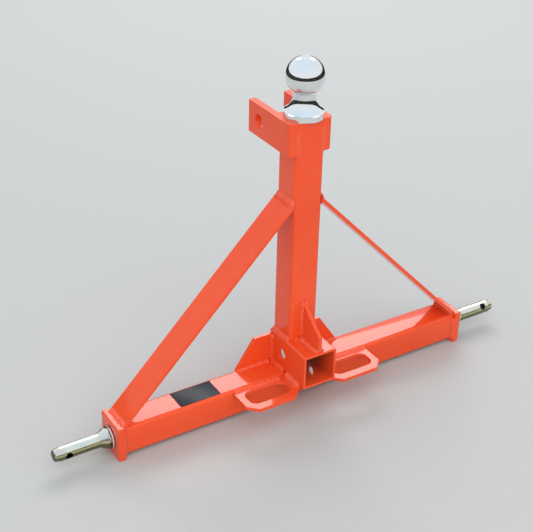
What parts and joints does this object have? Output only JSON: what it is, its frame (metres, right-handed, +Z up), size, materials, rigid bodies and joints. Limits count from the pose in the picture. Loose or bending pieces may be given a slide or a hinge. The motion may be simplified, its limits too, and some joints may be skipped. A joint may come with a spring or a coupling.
{
  "type": "three-point receiver hitch",
  "caption": "Welded tractor hitch frame: crossbar with lower-link pins, braced mast with top-link ears and a ball, square receiver socket and slotted chain plates.",
  "frame": {"origin": "on the ground, under the middle of the crossbar's length and of the overall depth", "axes": "+X along the crossbar towards the right-hand lower-link pin, +Z up the mast, +Y towards the tractor and the top-link ears; the receiver's mouth faces -Y"},
  "size_m": [0.847, 0.172, 0.5794],
  "materials": {
    "frame_paint": "gloss orange-red",
    "pin_zinc": "yellow-passivated zinc plate",
    "washer_steel": "bright zinc plate",
    "ball_chrome": "polished",
    "plain_steel": "plain steel",
    "label_sheet": "bare printed-stock sheet"
  },
  "bodies": {
    "root": {"crossbar_tube": "frame_paint", "left_end_plate": "frame_paint", "right_end_plate": "frame_paint", "receiver_tube": "frame_paint", "mast_tube": "frame_paint", "mast_cap_plate": "frame_paint", "left_ear": "frame_paint", "right_ear": "frame_paint", "left_brace": "frame_paint", "right_brace": "frame_paint", "left_gusset": "frame_paint", "right_gusset": "frame_paint", "front_gusset": "frame_paint", "left_chain_plate": "frame_paint", "right_chain_plate": "frame_paint", "left_link_pin": "pin_zinc", "right_link_pin": "pin_zinc", "left_lock_washer": "washer_steel", "right_lock_washer": "washer_steel", "left_stud_nut": "plain_steel", "right_stud_nut": "plain_steel", "hitch_ball": "ball_chrome", "ball_nut": "plain_steel", "left_end_welds": "frame_paint", "right_end_welds": "frame_paint", "left_brace_welds": "frame_paint", "right_brace_welds": "frame_paint", "mast_base_welds": "frame_paint", "receiver_seat_welds": "frame_paint", "left_gusset_welds": "frame_paint", "right_gusset_welds": "frame_paint", "front_gusset_welds": "frame_paint", "left_chain_plate_welds": "frame_paint", "right_chain_plate_welds": "frame_paint", "left_ear_welds": "frame_paint", "right_ear_welds": "frame_paint"}
  },
  "joints": []
}
